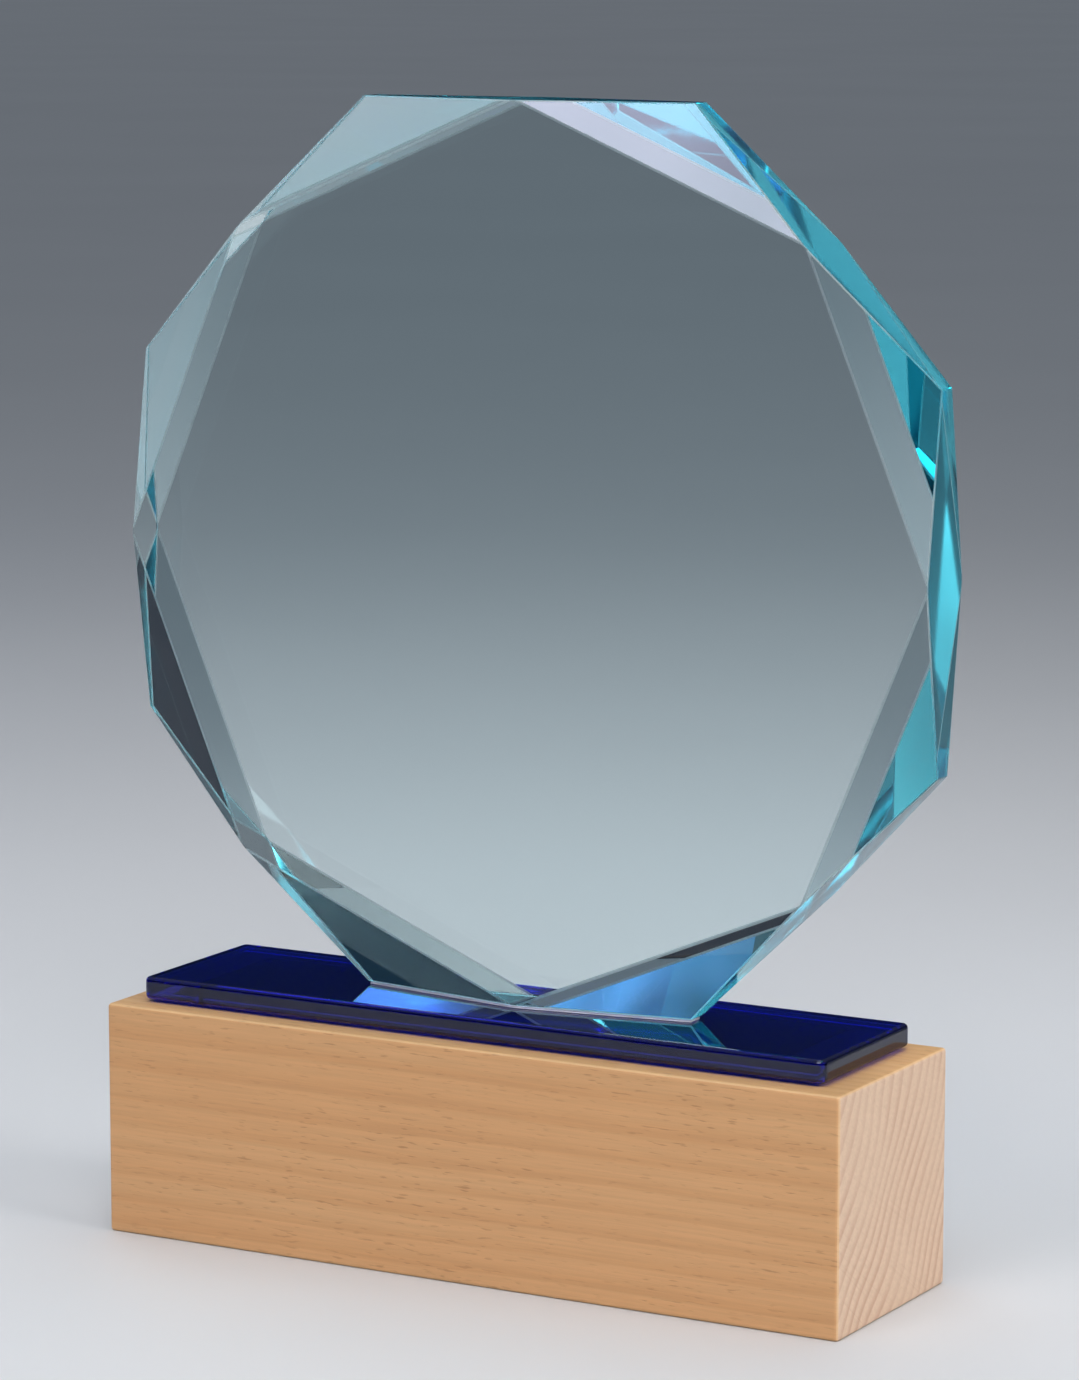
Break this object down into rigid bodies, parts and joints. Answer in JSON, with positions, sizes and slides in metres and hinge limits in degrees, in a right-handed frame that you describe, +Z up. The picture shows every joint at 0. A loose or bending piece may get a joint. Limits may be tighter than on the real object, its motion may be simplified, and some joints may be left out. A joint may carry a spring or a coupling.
{
  "type": "glass award",
  "caption": "Faceted clear glass octagon bonded upright on a blue glass plate and a rectangular beech block.",
  "frame": {"origin": "centre of the bounding box's bottom face, which is under the middle of the glass disc, on the surface the award stands on", "axes": "+Z up, +X to the right along the block's length, -Y towards the person who reads the award"},
  "size_m": [0.172, 0.046, 0.2236],
  "materials": {
    "clear_glass": "polished, faint teal tint",
    "clear_adhesive": "cured clear adhesive",
    "blue_glass": "polished cobalt blue",
    "mounting_tape": "clear, slightly milky",
    "beech": "sanded, bare or with a thin matt oil"
  },
  "bodies": {
    "root": {"glass_disc": "clear_glass", "disc_bond": "clear_adhesive", "blue_glass_plate": "blue_glass", "plate_tape_left": "mounting_tape", "plate_tape_right": "mounting_tape", "wood_block": "beech"}
  },
  "joints": []
}
